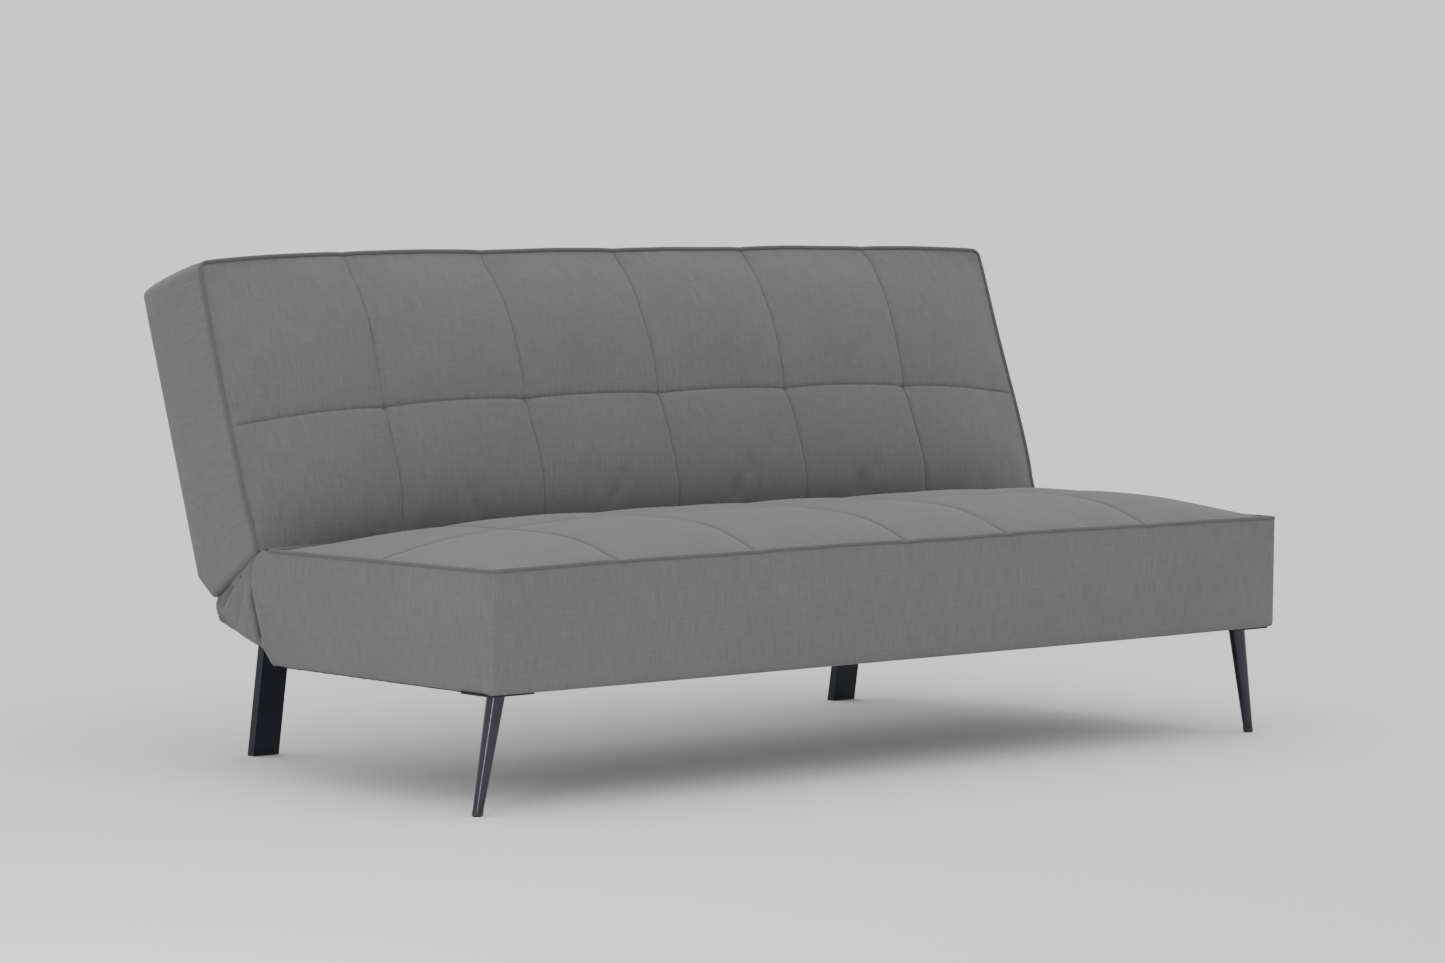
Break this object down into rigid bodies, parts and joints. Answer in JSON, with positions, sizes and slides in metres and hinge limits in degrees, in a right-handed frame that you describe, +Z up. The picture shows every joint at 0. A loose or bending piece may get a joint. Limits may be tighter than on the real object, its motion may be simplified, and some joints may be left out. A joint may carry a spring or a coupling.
{
  "type": "futon sofa bed",
  "caption": "Armless click-clack sofa bed with quilted, piped seat and tufted back that folds flat, on splayed tapered front legs and flat steel rear legs.",
  "frame": {"origin": "on the floor, under the middle of the sofa's bounding box, with the back standing", "axes": "+X along the sofa to its right hand end as seen from the front, +Y to the rear, +Z up"},
  "size_m": [1.68, 0.8237, 0.7812],
  "materials": {
    "cover_fabric": "matte",
    "lining_cloth": "matte",
    "foam": "matte",
    "felt": "matte",
    "pine_board": "matte",
    "spring_wire": "satin",
    "zinc_plated_steel": "satin",
    "dark_polished_steel": "polished",
    "powder_coated_steel": "satin",
    "black_plastic": "matte",
    "tuft_twine": "matte"
  },
  "bodies": {
    "seat_section": {"corner_plate_left": "powder_coated_steel", "corner_plate_right": "powder_coated_steel", "corner_plate_screws": "powder_coated_steel", "front_foot_left": "black_plastic", "front_foot_right": "black_plastic", "front_leg_bolts": "zinc_plated_steel", "front_leg_left": "dark_polished_steel", "front_leg_right": "dark_polished_steel", "hinge_cloth": "cover_fabric", "leg_bearer_left": "pine_board", "leg_bearer_right": "pine_board", "pawl_pin_left": "zinc_plated_steel", "pawl_pin_right": "zinc_plated_steel", "pawl_spring_left": "spring_wire", "pawl_spring_right": "spring_wire", "pivot_pin_left": "zinc_plated_steel", "pivot_pin_right": "zinc_plated_steel", "rear_arm_bolts": "zinc_plated_steel", "rear_arm_left": "powder_coated_steel", "rear_arm_right": "powder_coated_steel", "rear_foot_left": "black_plastic", "rear_foot_right": "black_plastic", "rear_leg_left": "powder_coated_steel", "rear_leg_right": "powder_coated_steel", "seat_border": "cover_fabric", "seat_centre_rail": "pine_board", "seat_corner_blocks": "pine_board", "seat_dust_cover": "lining_cloth", "seat_end_board_left": "pine_board", "seat_end_board_right": "pine_board", "seat_foam": "foam", "seat_front_rail": "pine_board", "seat_hinge_plate_left": "zinc_plated_steel", "seat_hinge_plate_right": "zinc_plated_steel", "seat_hinge_screws": "zinc_plated_steel", "seat_piping": "cover_fabric", "seat_rear_rail": "pine_board", "seat_spring_clips": "zinc_plated_steel", "seat_spring_pad": "felt", "seat_springs": "spring_wire", "seat_top_cover": "cover_fabric"},
    "backrest": {"back_border": "cover_fabric", "back_bottom_rail": "pine_board", "back_centre_rail": "pine_board", "back_end_board_left": "pine_board", "back_end_board_right": "pine_board", "back_foam": "foam", "back_front_cover": "cover_fabric", "back_hinge_plate_left": "zinc_plated_steel", "back_hinge_plate_right": "zinc_plated_steel", "back_hinge_screws": "zinc_plated_steel", "back_lining": "lining_cloth", "back_piping": "cover_fabric", "back_spring_clips": "zinc_plated_steel", "back_spring_pad": "felt", "back_springs": "spring_wire", "back_top_rail": "pine_board", "tuft_ties": "tuft_twine"},
    "left_pawl": {"pawl_left": "zinc_plated_steel"},
    "right_pawl": {"pawl_right": "zinc_plated_steel"}
  },
  "joints": [
    {"name": "back_fold", "type": "hinge", "parent": "seat_section", "child": "backrest", "pos_m": [0, 0.14966, 0.33436], "axis": [-1, 0, 0], "range_deg": [-12, 71.6], "deforming": ["hinge_cloth"]},
    {"name": "left_pawl_lift", "type": "hinge", "parent": "seat_section", "child": "left_pawl", "pos_m": [-0.795, 0.097, 0.262], "axis": [-1, 0, 0], "range_deg": [0, 12], "stiffness_Nm_per_rad": 0.8, "springref_deg": -8.59, "deforming": ["pawl_spring_left"]},
    {"name": "right_pawl_lift", "type": "hinge", "parent": "seat_section", "child": "right_pawl", "pos_m": [0.795, 0.097, 0.262], "axis": [-1, 0, 0], "range_deg": [0, 12], "stiffness_Nm_per_rad": 0.8, "springref_deg": -8.59, "deforming": ["pawl_spring_right"]}
  ]
}
